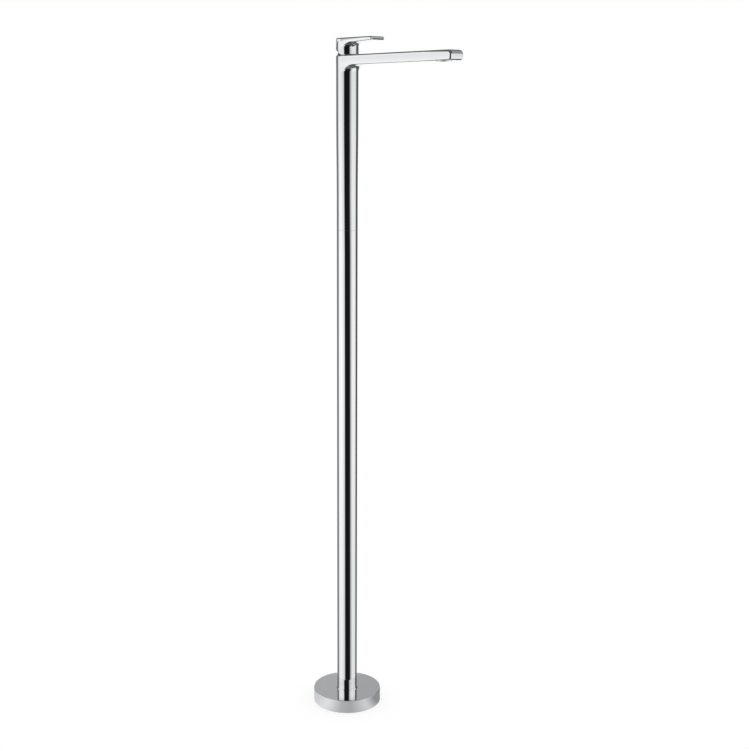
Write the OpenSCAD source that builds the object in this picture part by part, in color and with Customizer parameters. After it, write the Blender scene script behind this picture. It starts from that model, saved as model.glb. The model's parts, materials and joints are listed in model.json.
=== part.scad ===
// Floor-standing basin mixer, millimetres. The origin is on the floor under the column's axis,
// +Z is up and the spout points along +X.

/* [Column] */
// Diameter of the column
column_d = 35; // [33:0.5:40]
// Wall of the column tube
column_wall = 1.5; // [1:0.1:2]
// Height of the joint between the column and the mixer body
joint_z = 833; // [600:1:1000]
// Length of the sleeve inside that joint
sleeve_length = 50; // [40:1:80]
// Wall of the sleeve
sleeve_wall = 2.4; // [2:0.1:3]

/* [Base] */
// Diameter of the base cover
cover_d = 117; // [112:1:150]
// Height of the base cover
cover_h = 23; // [23:0.5:40]
// Wall of the base cover
cover_wall = 2; // [1:0.1:2]
// Small bevel round the cover's top edge
cover_bevel = 0.8; // [0.3:0.1:1.5]
// Width of the seal that the cover's rim holds on the floor
floor_seal_w = 3; // [2:0.5:4]
// Height of the floor seal
floor_seal_h = 3; // [2:0.5:5]
// Gap between the floor seal and the floor flange
flange_gap = 3.4; // [1:0.1:6]
// Distance from the flange's edge to the middle of each floor bolt hole
bolt_edge = 10; // [6:0.5:12]
// Diameter of each floor bolt hole
bolt_hole_d = 7; // [5:0.5:9]
// Number of floor bolts
bolt_count = 4; // [3:1:6]
// Height of the foot socket above the base cover
socket_above = 19.7; // [12:0.1:40]
// Length of the socket's spigot inside the column tube
socket_spigot = 30; // [22:1:50]
// Rim of the socket's own foot outside its screws' heads
foot_rim = 1.5; // [0.5:0.1:3]
// Thickness of the socket's own foot
socket_foot_t = 3; // [2:0.1:3]
// Wall of the foot socket
socket_wall = 3.4; // [3:0.1:3.6]
// Distance from the column's outside to the middle of each foot screw
foot_screw_offset = 8.5; // [8:0.1:9]
// Width of the bead ring at the socket's foot
bead_w = 1.2; // [0.6:0.1:3]
// Height of the bead ring
bead_h = 1.6; // [1:0.1:4]

/* [Supply] */
// Gap between each hose's ferrule and the foot socket's bore
ferrule_gap = 0.8; // [0.5:0.1:1.5]
// Gap between the ferrules of the two hoses
hose_spacing = 1.4; // [1:0.1:2]
// Bore of each hose
hose_bore = 7; // [5:0.1:7.5]
// Length of the crimp ferrule on each hose end
ferrule_length = 18; // [10:1:25]
// Wall of the crimp ferrule
ferrule_wall = 0.7; // [0.4:0.1:0.8]
// Diameter of the hose tail's thread
tail_thread_d = 9.4; // [8:0.1:10]
// Length of the hose tail's thread
tail_thread_l = 8; // [6:0.5:8.5]
// Height of the hose tail's hexagon
tail_hex_h = 5; // [3:0.5:8]
// Distance between the two floor inlets
inlet_pitch = 22; // [20:0.5:26]
// Diameter of each floor inlet's thread
inlet_d = 15; // [12:0.1:16]
// Depth of each floor inlet's thread
inlet_depth = 9; // [8:0.5:9.5]
// Thickness of the filter at the end of each floor inlet
filter_t = 1; // [0.6:0.1:1.5]
// Width of the step that holds the filter
filter_step = 0.6; // [0.4:0.1:1]

/* [Spout] */
// Reach of the spout from the column's axis
spout_reach = 206.5; // [150:0.5:260]
// Thickness of the spout
spout_t = 15.9; // [14:0.1:20]
// Radius of the spout's rounded end
spout_end_r = 6; // [2:0.1:6.5]
// Angle that the spout rises by
spout_rise = 1.3; // [0:0.1:2]
// Height of the body's top at the column's axis
body_top_z = 1111.9; // [960:0.1:1300]
// Radius of the fillet under the spout's root
spout_root_r = 10.5; // [6:0.5:14]
// Wall of the hollow spout
spout_wall = 2.5; // [2:0.1:2.8]
// Distance from the column's outside to the spout's hollow
hollow_setback = 3.5; // [3:0.1:5]
// Wall at the spout's end
spout_end_wall = 4.5; // [4:0.1:6]
// Front wall of the outlet block
block_front = 8.6; // [1:0.1:10]
// Diameter of the water tube inside the spout
water_tube_d = 6.4; // [5.6:0.1:6.4]
// Wall of the water tube
water_tube_wall = 0.8; // [0.5:0.1:1]

/* [Aerator] */
// Diameter of the aerator's visible rim
aerator_rim_d = 24.6; // [23:0.1:25]
// Distance that the rim stands out under the spout
aerator_proud = 0.8; // [0.5:0.1:4]
// Diameter of the aerator's thread
aerator_thread_d = 21.8; // [20:0.1:22]
// Wall of the aerator housing
aerator_wall = 1.5; // [1:0.1:2]
// Diameter of each hole in the aerator's insert
aerator_hole_d = 2.4; // [1.2:0.1:2.6]
// Number of rings of holes round the aerator's middle hole
aerator_rings = 2; // [1:1:2]

/* [Mixer body] */
// Distance that the body's head stands out past the column
head_flare = 0.7; // [0:0.1:1]
// Height above the joint where the body starts to widen
flare_start = 60; // [30:1:80]
// Length over which the body widens
flare_length = 120; // [60:1:130]
// Wall of the body's lower, hollow part
body_wall = 2.5; // [2:0.1:3]
// Thickness of the solid web under the cartridge
web_t = 25; // [18:0.5:40]
// Height of the threaded neck above the body's top
neck_h = 5.5; // [5.5:0.1:6]
// Wall of the threaded neck
neck_wall = 1.5; // [1.4:0.1:1.7]
// Wall of the dome ring at its foot
dome_wall = 1.8; // [1.6:0.1:2]
// Widening of the cartridge bore where the mixed water flows
bore_undercut = 1; // [0.6:0.1:1.2]

/* [Cartridge] */
// Wall of the cartridge housing
cartridge_wall = 1; // [0.8:0.1:1.2]
// Thickness of the housing's top
cartridge_top_t = 3.2; // [2.8:0.1:3.4]
// Thickness of the cartridge base
cartridge_base_t = 10; // [8:0.1:10.5]
// Thickness of each ceramic disc
disc_t = 3.5; // [3:0.1:3.6]
// Gap between the moving disc and the housing at the ends of its travel
disc_clearance = 0.74; // [0.3:0.01:1.2]
// Thickness of the disc carrier under the ball's socket
carrier_floor = 1.85; // [1:0.05:3]
// Gap between the disc carrier and the rotor
carrier_gap = 0.95; // [0.3:0.05:1.5]
// Diameter of the rotor's neck
rotor_neck_d = 15.2; // [14.8:0.1:15.4]
// Height of the rotor's flange
rotor_flange_h = 4.8; // [4:0.1:4.9]
// Height of the spindle's hinge above the body's top
pivot_h = 1.5; // [1:0.1:2]
// Distance from the hinge down to the spindle's ball
spindle_arm = 14; // [13.8:0.1:14.2]
// Width of the spindle along the spout
spindle_w = 7; // [6:0.1:7.2]
// Width of the spindle across the spout
spindle_t = 6.2; // [5:0.1:6.4]
// Diameter of the spindle's ball
ball_d = 4.6; // [4:0.1:4.8]
// Diameter of the spindle's hinge pin
pin_d = 2.6; // [2:0.1:3]

/* [Lever] */
// Height of the lever above the body's top
lever_h = 26.6; // [26.2:0.1:34]
// Reach of the lever from the column's axis
lever_reach = 59.6; // [40:0.1:90]
// Thickness of the blade at its root
blade_root_t = 7.6; // [4:0.1:8]
// Thickness of the blade at its tip
blade_tip_t = 5.6; // [3:0.1:7]
// Radius of the fillet under the blade's root
blade_root_r = 7; // [4:0.5:12]
// Gap between the lever and the body
lever_gap = 0.8; // [0.7:0.1:1.5]
// Angle of the bevel that clears the body when the lever tilts
bevel_angle = 32; // [30:0.5:45]
// Wall of the lever's skirt
skirt_wall = 2.1; // [1.9:0.1:2.2]
// Height of the hollow under the lever above the body's top
lever_hollow_h = 14; // [14:0.1:15]
// Depth of the spindle's socket in the lever
socket_depth = 10; // [7:0.1:10.5]
// Largest angle that the lever tilts by
lever_tilt = 25; // [15:0.5:25]

/* [Screws] */
// Diameter of the grub screws in the column
grub_d = 5; // [4:0.1:6]
// Length of the grub screws in the column
grub_length = 4.6; // [4:0.1:4.8]
// Diameter of the screw that holds the lever
lever_screw_d = 5; // [4:0.1:6]
// Length of the screw that holds the lever
lever_screw_length = 8; // [6:0.1:9]
// Length of the plug that hides it
plug_length = 3; // [2:0.1:4]
// Size of every hexagon socket across its corners
hex_socket_d = 2.8; // [2:0.1:3]
// Depth of every hexagon socket
hex_socket_depth = 2; // [1:0.1:3]
// Diameter of the screws that hold the foot socket
foot_screw_d = 4; // [3:0.1:5]
// Length of those screws inside the floor flange
foot_screw_bite = 8; // [6:0.5:9]
// Diameter of those screws' heads
foot_head_d = 7; // [6:0.1:7.5]
// Height of those screws' heads
foot_head_h = 3.5; // [2:0.1:3.5]

/* [Fits] */
// Radial clearance of parts that fit inside one another and stay still
fit = 0.1; // [0.05:0.01:0.15]
// Radial clearance of bearings that turn
running = 0.08; // [0.05:0.01:0.1]
// Clearance between parts that move past each other
free = 0.3; // [0.25:0.01:0.35]
// Bevel on each side of a visible joint line
joint_bevel = 0.3; // [0.1:0.05:0.5]

/* [Hidden] */
$fn = 96;

column_r = column_d / 2;
head_r = column_r + head_flare;
tube_bore_r = column_r - column_wall;
sleeve_r = tube_bore_r - fit;
sleeve_bore_r = sleeve_r - sleeve_wall;
cover_r = cover_d / 2;
seal_r = cover_r - cover_wall - fit;
flange_r = seal_r - floor_seal_w - flange_gap;
bolt_circle_r = flange_r - bolt_edge;
head_clearance = 0.5;
flange_t = cover_h - cover_wall - head_clearance - foot_head_h - socket_foot_t;
foot_screw_r = column_r + foot_screw_offset;
socket_foot_r = foot_screw_r + foot_head_d / 2 + foot_rim;
socket_top_z = cover_h + socket_above;
socket_bore_r = column_r - socket_wall;
socket_foot_z = flange_t + socket_foot_t;
boss_r = socket_bore_r - 1;
boss_h = 8;
tail_bottom_z = flange_t + boss_h;
ferrule_r = (socket_bore_r - ferrule_gap - hose_spacing / 2) / 2;
hose_r = ferrule_r - ferrule_wall - fit;
hose_pitch = 2 * ferrule_r + hose_spacing;
tail_thread_r = tail_thread_d / 2;
tail_hex_r = ferrule_r - fit;
tail_barb_r = hose_bore / 2 - fit;
tail_bore_r = tail_barb_r - 0.8;
drill_r = 2.6;
inlet_r = inlet_d / 2;
filter_r = inlet_r - filter_step - fit;
filter_hole_d = 2.4;
cord_r = 0.8;
seal_slack = 0.02;
tube_seal_r = 0.5;

blend = 0.05;
spout_w = 2 * (head_r - blend);
cavity_w = spout_w - 2 * spout_wall;
cavity_start = head_r + hollow_setback;
cavity_end = spout_reach - spout_end_wall;
outlet_reach = cavity_end - free - 2 * fit - block_front - aerator_thread_d / 2;
water_tube_r = water_tube_d / 2;
tube_floor_gap = 1.1;
tube_axis_z = -spout_t + spout_wall + tube_floor_gap + water_tube_r;
tube_overlap = 4;
block_back = 6;
block_start = outlet_reach - aerator_thread_d / 2 - block_back;
block_end = outlet_reach + aerator_thread_d / 2 + block_front;
channel_w = 5;
channel_start = block_start + 3.5;
block_h = spout_t - 2 * spout_wall;
chamber_top = -spout_wall - 1;
chamber_t = 0.7;
washer_t = 1.1;
washer_z = chamber_top - chamber_t - washer_t;
aerator_top = washer_z;
aerator_bore_r = aerator_thread_d / 2 - aerator_wall;
aerator_lip_t = 1.5;
aerator_lip_w = 1.4;

skirt_r = head_r - skirt_wall;
dome_foot_r = skirt_r - free;
dome_bore_r = dome_foot_r - dome_wall;
dome_shoulder_r = dome_bore_r + dome_wall / 2;
dome_h = neck_h + 2.9;
dome_hole_r = 9.2;
neck_r = dome_bore_r - fit;
cartridge_bore_r = neck_r - neck_wall;
cartridge_r = cartridge_bore_r - 2 * fit;
cartridge_inner_r = cartridge_r - cartridge_wall;
tube_start = cartridge_bore_r + bore_undercut + 0.4;
cartridge_top = -1.2;
land_bottom = cartridge_top - cartridge_top_t;
rotor_neck_r = rotor_neck_d / 2;
rotor_flange_top = land_bottom - free;
rotor_flange_bottom = rotor_flange_top - rotor_flange_h;
rotor_flange_r = cartridge_inner_r - free;
tilt_slot = 12.4;
arm_slot_back = 4;
arm_slot = 12;
nut_bore_r = cartridge_bore_r + fit;
nut_r = nut_bore_r - fit;
nut_hole_r = rotor_neck_r + 0.8;
nut_h = 6.2;
nut_slot = 2.4;
rotor_top = cartridge_top + nut_h;

ball_z = pivot_h - spindle_arm;
ball_r = ball_d / 2;
carrier_bottom = ball_z - ball_r - free - carrier_floor;
carrier_h = rotor_flange_bottom - carrier_gap - carrier_bottom;
disc_gap = 0.05;
moving_disc_bottom = carrier_bottom - disc_t;
fixed_disc_top = moving_disc_bottom - disc_gap;
base_top = fixed_disc_top - disc_t;
cartridge_bottom = base_top - cartridge_base_t;
seat_depth = -cartridge_bottom;
disc_shift = -spindle_arm * sin(lever_tilt) / 2;
moving_disc_r = cartridge_inner_r + disc_shift - disc_clearance;
housing_bottom = cartridge_bottom + 1;
window_w = 6;
window_h = 7;
seal_groove = 0.8;
port_seal_w = 1.2;
spindle_foot = -2.5;
spindle_top = lever_hollow_h + socket_depth - fit;
screw_z = lever_hollow_h + socket_depth / 2;
blade_edge = 0.8;
bevel_start = 0.5;

web_bottom_z = body_top_z - seat_depth - web_t;
hose_bottom_z = tail_bottom_z + tail_hex_h;
hose_top_z = web_bottom_z - tail_hex_h;
grub_heights = [socket_top_z + 14, joint_z - 13, joint_z + 14];
seal_heights = [joint_z - 6, joint_z + 6];
screw_inset = 0.3;
far = 500;

// A ring with a square section
module ring(outer, inner, h) {
    difference() {
        cylinder(r = outer, h = h);
        translate([0, 0, -1]) cylinder(r = inner, h = h + 2);
    }
}

// A round seal whose cord runs on a circle
module cord_ring(circle_r, r) {
    rotate_extrude() translate([circle_r, 0]) circle(r = r, $fn = 24);
}

// The frame of the body's top, level with the column
module at_top() {
    translate([0, 0, body_top_z]) children();
}

// The frame of the body's top, turned up with the spout
module at_spout() {
    translate([0, 0, body_top_z]) rotate([0, -spout_rise, 0]) children();
}

// Both hoses' places, hot on +Y and cold on -Y
module at_hoses(pitch) {
    for (side = [-1, 1]) translate([0, side * pitch / 2, 0]) children();
}

// Everything above a height over the body's sloping top
module above_slope(z) {
    at_spout() translate([-far / 2, -far / 2, z]) cube(far);
}

// Everything below a height over the body's sloping top
module below_slope(z) {
    at_spout() translate([-far / 2, -far / 2, z - far]) cube(far);
}

// A grub screw from z = 0 to its length, with its hexagon socket on top
module grub_screw(d, length) {
    difference() {
        cylinder(d = d - 2 * fit, h = length);
        translate([0, 0, length - hex_socket_depth])
            cylinder(d = hex_socket_d, h = hex_socket_depth + 1, $fn = 6);
    }
}

// The grub screws' places down the column's back
module at_grub_screws() {
    for (z = grub_heights) translate([0, 0, z]) rotate([0, -90, 0]) children();
}

module grub_screw_holes() {
    at_grub_screws() translate([0, 0, sleeve_bore_r - 2]) cylinder(d = grub_d, h = column_d);
}

// The places of the three screws that hold the foot socket on the flange
module at_foot_screws() {
    for (angle = [0 : 120 : 240]) rotate(angle) translate([foot_screw_r, 0, 0]) children();
}

module floor_flange() color("dimgray") {
    difference() {
        union() {
            cylinder(r = flange_r, h = flange_t);
            translate([0, 0, flange_t - 1]) cylinder(r = boss_r, h = boss_h + 1);
        }
        for (i = [0 : bolt_count - 1]) rotate(45 + i * 360 / bolt_count)
            translate([bolt_circle_r, 0, -1]) cylinder(d = bolt_hole_d, h = flange_t + 2);
        at_hoses(inlet_pitch) {
            translate([0, 0, -1]) cylinder(r = inlet_r, h = inlet_depth + 1);
            cylinder(r = filter_r + fit, h = inlet_depth + filter_t);
        }
        at_hoses((inlet_pitch + hose_pitch) / 2) cylinder(r = drill_r, h = flange_t + 1);
        at_hoses(hose_pitch) translate([0, 0, tail_bottom_z - tail_thread_l - 0.5])
            cylinder(r = tail_thread_r + fit, h = tail_thread_l + 2);
        at_foot_screws() translate([0, 0, flange_t - foot_screw_bite - 1])
            cylinder(d = foot_screw_d + 2 * fit, h = foot_screw_bite + 2);
    }
}

module floor_seal() color("black") {
    ring(seal_r, seal_r - floor_seal_w, floor_seal_h);
}

module base_cover() color("lightgray") {
    difference() {
        rotate_extrude() polygon([
            [0, 0], [cover_r, 0], [cover_r, cover_h - cover_bevel],
            [cover_r - cover_bevel, cover_h], [0, cover_h]
        ]);
        translate([0, 0, -1]) cylinder(r = cover_r - cover_wall, h = cover_h - cover_wall + 1);
        cylinder(r = column_r + fit, h = cover_h + 1);
    }
}

module cover_bead() color("silver") {
    rotate_extrude() difference() {
        translate([column_r + fit, cover_h]) square([bead_w, bead_h]);
        translate([column_r + fit + bead_w, cover_h + bead_h])
            circle(r = min(bead_w, bead_h) * 0.6, $fn = 32);
    }
}

module foot_socket() color("silver") {
    difference() {
        union() {
            translate([0, 0, flange_t]) cylinder(r = socket_foot_r, h = socket_foot_t);
            rotate_extrude() polygon([
                [0, flange_t], [column_r, flange_t], [column_r, socket_top_z - joint_bevel],
                [column_r - joint_bevel, socket_top_z], [0, socket_top_z]
            ]);
            translate([0, 0, socket_top_z - 1]) cylinder(r = sleeve_r, h = socket_spigot + 1);
        }
        translate([0, 0, flange_t - 1]) cylinder(r = socket_bore_r, h = socket_top_z + socket_spigot);
        at_foot_screws() cylinder(d = foot_screw_d + 4 * free, h = socket_foot_z + 1);
        grub_screw_holes();
    }
}

module foot_screws() color("gray") {
    at_foot_screws() {
        translate([0, 0, flange_t - foot_screw_bite])
            cylinder(d = foot_screw_d, h = foot_screw_bite + socket_foot_t + 1);
        difference() {
            translate([0, 0, socket_foot_z]) cylinder(d = foot_head_d, h = foot_head_h);
            translate([0, 0, socket_foot_z + foot_head_h - hex_socket_depth])
                cylinder(d = hex_socket_d, h = hex_socket_depth + 1, $fn = 6);
        }
    }
}

module column_tube() color("silver") {
    difference() {
        rotate_extrude() polygon([
            [0, socket_top_z], [column_r - joint_bevel, socket_top_z],
            [column_r, socket_top_z + joint_bevel], [column_r, joint_z - joint_bevel],
            [column_r - joint_bevel, joint_z], [0, joint_z]
        ]);
        translate([0, 0, socket_top_z - 1]) cylinder(r = tube_bore_r, h = joint_z);
        grub_screw_holes();
    }
}

module joint_sleeve() color("goldenrod") {
    difference() {
        translate([0, 0, joint_z - sleeve_length / 2]) ring(sleeve_r, sleeve_bore_r, sleeve_length);
        for (z = seal_heights) translate([0, 0, z - cord_r])
            ring(sleeve_r + 1, tube_bore_r - 2 * cord_r - 2 * seal_slack, 2 * cord_r);
        grub_screw_holes();
    }
}

module joint_seals() color("black") {
    for (z = seal_heights) translate([0, 0, z]) cord_ring(tube_bore_r - cord_r - seal_slack, cord_r);
}

module grub_screws() color("dimgray") {
    at_grub_screws() translate([0, 0, column_r - screw_inset - grub_length])
        grub_screw(grub_d, grub_length);
}

module hose(side) {
    translate([0, side * hose_pitch / 2, hose_bottom_z])
        ring(hose_r, hose_bore / 2, hose_top_z - hose_bottom_z);
}

module hot_hose() color("darkgray") hose(1);

module cold_hose() color("darkgray") hose(-1);

module hose_ferrules() color("gainsboro") {
    at_hoses(hose_pitch) for (z = [hose_bottom_z, hose_top_z - ferrule_length])
        translate([0, 0, z]) ring(ferrule_r, hose_r + fit / 2, ferrule_length);
}

// One hose tail: its thread points down, its hexagon stands on z = 0 and its barb points up
module hose_tail() {
    difference() {
        union() {
            translate([0, 0, -tail_thread_l]) cylinder(r = tail_thread_r, h = tail_thread_l + 0.1);
            cylinder(r = tail_hex_r, h = tail_hex_h, $fn = 6);
            cylinder(r = tail_barb_r, h = tail_hex_h + ferrule_length - 1);
        }
        translate([0, 0, -tail_thread_l - 1]) cylinder(r = tail_bore_r, h = far);
    }
}

module hose_tails() color("goldenrod") {
    at_hoses(hose_pitch) {
        translate([0, 0, tail_bottom_z]) hose_tail();
        translate([0, 0, web_bottom_z]) mirror([0, 0, 1]) hose_tail();
    }
}

module inlet_filters() color("gainsboro") {
    at_hoses(inlet_pitch) translate([0, 0, inlet_depth]) difference() {
        cylinder(r = filter_r, h = filter_t);
        for (angle = [0 : 60 : 300]) rotate(angle)
            translate([filter_r * 0.6, 0, -1]) cylinder(d = filter_hole_d, h = filter_t + 2);
        translate([0, 0, -1]) cylinder(d = filter_hole_d, h = filter_t + 2);
    }
}

// The spout's outline seen from the side, with its rounded end
module spout_profile() {
    translate([0, -spout_t]) square([spout_reach - spout_end_r, spout_t]);
    translate([0, -spout_t + spout_end_r]) square([spout_reach, spout_t - 2 * spout_end_r]);
    for (z = [-spout_end_r, -spout_t + spout_end_r])
        translate([spout_reach - spout_end_r, z]) circle(r = spout_end_r, $fn = 64);
}

// A concave fillet that wraps round the column under a blade whose underside is at z = 0
module root_fillet(r) {
    rotate_extrude() difference() {
        translate([0, -r]) square([head_r + r - blend, r + 1]);
        translate([head_r + r - blend, -r]) circle(r = r, $fn = 96);
    }
}

// A blade with flat sides, from its side outline and what joins its root
module flat_blade() {
    intersection() {
        union() {
            at_spout() rotate([90, 0, 0]) translate([0, 0, -column_d])
                linear_extrude(2 * column_d) children(0);
            at_top() children(1);
        }
        at_top() translate([0, -spout_w / 2, -far / 2]) cube([far, spout_w, far]);
    }
}

module mixer_body() color("silver") {
    fillet_rise = tan(spout_rise) * (head_r + spout_root_r / 2);
    difference() {
        union() {
            flat_blade() {
                spout_profile();
                translate([0, 0, fillet_rise - spout_t]) root_fillet(spout_root_r);
            }
            difference() {
                rotate_extrude() polygon([
                    [0, joint_z], [column_r - joint_bevel, joint_z],
                    [column_r, joint_z + joint_bevel], [column_r, joint_z + flare_start],
                    [head_r, joint_z + flare_start + flare_length],
                    [head_r, body_top_z + neck_h], [0, body_top_z + neck_h]
                ]);
                above_slope(0);
            }
            at_top() translate([0, 0, -2]) cylinder(r = neck_r, h = neck_h + 2);
        }
        body_waterways();
        spout_hollow();
        grub_screw_holes();
    }
}

module body_waterways() {
    translate([0, 0, joint_z - 1]) cylinder(r = tube_bore_r, h = sleeve_length / 2 + 2);
    translate([0, 0, joint_z]) cylinder(r = column_r - body_wall, h = web_bottom_z - joint_z);
    at_hoses(hose_pitch) {
        translate([0, 0, web_bottom_z - 1]) cylinder(r = tail_thread_r + fit, h = tail_thread_l + 1.5);
        translate([0, 0, web_bottom_z]) cylinder(r = drill_r, h = web_t + 1);
    }
    at_top() {
        translate([0, 0, cartridge_bottom]) cylinder(r = cartridge_bore_r, h = seat_depth + 1);
        translate([0, 0, housing_bottom + 2])
            cylinder(r = cartridge_bore_r + bore_undercut, h = land_bottom - housing_bottom - 2);
        translate([0, 0, cartridge_top]) cylinder(r = nut_bore_r, h = neck_h + 3);
    }
}

module spout_hollow() {
    at_spout() {
        translate([cavity_start, -cavity_w / 2, spout_wall - spout_t])
            cube([cavity_end - cavity_start, cavity_w, block_h]);
        translate([outlet_reach, 0, -spout_t - 1])
            cylinder(d = aerator_rim_d + 4 * fit, h = spout_wall + 2);
        translate([0, 0, tube_axis_z]) rotate([0, 90, 0])
            cylinder(r = water_tube_r + fit, h = cavity_start + 1);
    }
}

module water_tube() color("white") {
    at_spout() translate([tube_start, 0, tube_axis_z]) rotate([0, 90, 0])
        ring(water_tube_r, water_tube_r - water_tube_wall, block_start + tube_overlap - tube_start);
}

module tube_seals() color("black") {
    at_spout() for (x = [cavity_start + tube_seal_r, block_start - tube_seal_r])
        translate([x, 0, tube_axis_z]) rotate([0, 90, 0])
            cord_ring(water_tube_r + fit / 2 + tube_seal_r, tube_seal_r);
}

module outlet_block() color("dimgray") {
    at_spout() difference() {
        translate([block_start, fit - cavity_w / 2, spout_wall - spout_t])
            cube([block_end - block_start, cavity_w - 2 * fit, block_h]);
        translate([outlet_reach, 0, -spout_t])
            cylinder(d = aerator_thread_d + 2 * fit, h = spout_t + washer_z + washer_t);
        translate([outlet_reach, 0, washer_z])
            cylinder(r = aerator_bore_r - aerator_lip_w + 0.4, h = chamber_top - washer_z);
        translate([block_start - 1, 0, tube_axis_z]) rotate([0, 90, 0])
            cylinder(r = water_tube_r + fit, h = tube_overlap + 1);
        translate([channel_start, -channel_w / 2, tube_axis_z])
            cube([1.5, channel_w, chamber_top - tube_axis_z]);
        translate([channel_start, -channel_w / 2, chamber_top - chamber_t])
            cube([12, channel_w, chamber_t]);
    }
}

module aerator_housing() color("silver") {
    at_spout() translate([outlet_reach, 0, 0]) difference() {
        union() {
            translate([0, 0, -spout_t - aerator_proud])
                cylinder(d = aerator_rim_d, h = aerator_proud + spout_wall - fit);
            translate([0, 0, -spout_t]) cylinder(d = aerator_thread_d, h = spout_t + aerator_top);
        }
        translate([0, 0, -spout_t - aerator_proud - 1])
            cylinder(r = aerator_bore_r, h = spout_t + aerator_proud + 1 + aerator_top - aerator_lip_t);
        translate([0, 0, -spout_t])
            cylinder(r = aerator_bore_r - aerator_lip_w, h = spout_t + aerator_top + 1);
    }
}

module aerator_insert() color("lightgray") {
    insert_z = -spout_t - aerator_proud + 0.5;
    insert_h = aerator_top - aerator_lip_t - insert_z;
    step = (aerator_bore_r - 1) / (aerator_rings + 0.6);
    at_spout() translate([outlet_reach, 0, insert_z]) difference() {
        cylinder(r = aerator_bore_r - fit, h = insert_h);
        translate([0, 0, -1]) cylinder(d = aerator_hole_d, h = insert_h + 2);
        for (k = [1 : aerator_rings], i = [0 : 6 * k - 1]) rotate(i * 60 / k)
            translate([k * step, 0, -1]) cylinder(d = aerator_hole_d, h = insert_h + 2);
    }
}

module aerator_washer() color("black") {
    at_spout() translate([outlet_reach, 0, washer_z])
        ring(aerator_thread_d / 2 - fit, aerator_bore_r - aerator_lip_w, washer_t);
}

module cartridge_housing() color("white") {
    at_top() difference() {
        translate([0, 0, housing_bottom]) cylinder(r = cartridge_r, h = cartridge_top - housing_bottom);
        translate([0, 0, cartridge_bottom])
            cylinder(r = cartridge_inner_r, h = land_bottom - cartridge_bottom);
        translate([0, 0, land_bottom - 1]) cylinder(r = rotor_neck_r + running, h = cartridge_top_t + 2);
        translate([0, 0, land_bottom + 1]) ring(cartridge_r + 1, cartridge_r - seal_groove, 1);
        for (angle = [0 : 90 : 270]) rotate(angle) translate([0, -window_w / 2, fixed_disc_top + 0.5])
            cube([cartridge_r + 1, window_w, window_h]);
    }
}

module cartridge_base() color("firebrick") {
    at_top() difference() {
        translate([0, 0, cartridge_bottom]) cylinder(r = cartridge_inner_r - fit, h = cartridge_base_t);
        at_hoses(hose_pitch) {
            translate([0, 0, cartridge_bottom - 1]) cylinder(r = drill_r, h = cartridge_base_t + 2);
            translate([0, 0, cartridge_bottom - 1]) cylinder(r = drill_r + port_seal_w, h = 2);
        }
    }
}

module port_seals() color("black") {
    at_top() at_hoses(hose_pitch) translate([0, 0, cartridge_bottom])
        ring(drill_r + port_seal_w - fit, drill_r, 1);
}

module cartridge_seal() color("black") {
    at_top() translate([0, 0, land_bottom + 1.5]) cord_ring(cartridge_r - 0.3, 0.42);
}

// The ceramic disc that stays still, with its two water ports
module fixed_disc() color("ivory") {
    at_top() difference() {
        translate([0, 0, base_top]) cylinder(r = cartridge_inner_r - fit, h = disc_t);
        at_hoses(hose_pitch) translate([0, 0, base_top - 1]) cylinder(r = drill_r - 0.4, h = disc_t + 2);
    }
}

module cartridge_nut() color("goldenrod") {
    at_top() translate([0, 0, cartridge_top]) difference() {
        cylinder(r = nut_r, h = nut_h);
        translate([0, 0, -1]) cylinder(r = nut_hole_r, h = nut_h + 2);
        for (angle = [45 : 90 : 315]) rotate(angle)
            translate([nut_hole_r - 1, -nut_slot / 2, nut_h - 2]) cube([5, nut_slot, 3]);
    }
}

module dome_ring() color("silver") {
    difference() {
        at_top() rotate_extrude() polygon([
            [dome_bore_r, -1], [dome_foot_r, -1], [dome_foot_r, 0], [dome_shoulder_r, dome_h - 3],
            [dome_shoulder_r - 1.6, dome_h - 0.8], [dome_hole_r, dome_h], [dome_hole_r, dome_h - 1.6],
            [dome_shoulder_r - 2.4, dome_h - 2.2], [dome_bore_r, dome_h - 2.8]
        ]);
        below_slope(0);
    }
}

module cartridge_rotor() color("royalblue") {
    slot = spindle_t + 2 * free;
    at_top() difference() {
        union() {
            translate([0, 0, rotor_flange_bottom]) {
                cylinder(r = rotor_flange_r, h = rotor_flange_h);
                cylinder(r = rotor_neck_r, h = rotor_top - rotor_flange_bottom);
            }
        }
        translate([-tilt_slot / 2, -slot / 2, land_bottom]) cube([tilt_slot, slot, seat_depth]);
        translate([-arm_slot_back, -slot / 2, rotor_flange_bottom - 1])
            cube([arm_slot, slot, land_bottom - rotor_flange_bottom + 1.1]);
        translate([0, 0, pivot_h]) rotate([90, 0, 0])
            cylinder(d = pin_d + 2 * fit, h = column_d, center = true);
    }
}

module spindle_pin() color("gainsboro") {
    at_top() translate([0, 0, pivot_h]) rotate([90, 0, 0])
        cylinder(d = pin_d, h = rotor_neck_d - 0.8, center = true);
}

module lever_spindle() color("gainsboro") {
    at_top() difference() {
        union() {
            translate([-spindle_w / 2, -spindle_t / 2, spindle_foot])
                cube([spindle_w, spindle_t, spindle_top - spindle_foot]);
            translate([0, 0, ball_z]) cylinder(r = ball_r - 0.4, h = spindle_foot - ball_z + 1);
            translate([0, 0, ball_z]) sphere(r = ball_r, $fn = 48);
        }
        translate([0, 0, pivot_h]) rotate([90, 0, 0])
            cylinder(d = pin_d + 2 * running, h = column_d, center = true);
    }
}

// The lever's outline seen from the side, a blade that thins towards its tip
module blade_profile() {
    polygon([
        [0, lever_h], [0, lever_h - blade_root_t], [head_r + blade_root_r, lever_h - blade_root_t],
        [lever_reach - blade_edge, lever_h - blade_tip_t],
        [lever_reach, lever_h - blade_tip_t + blade_edge],
        [lever_reach, lever_h - blade_edge], [lever_reach - blade_edge, lever_h]
    ]);
}

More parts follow.
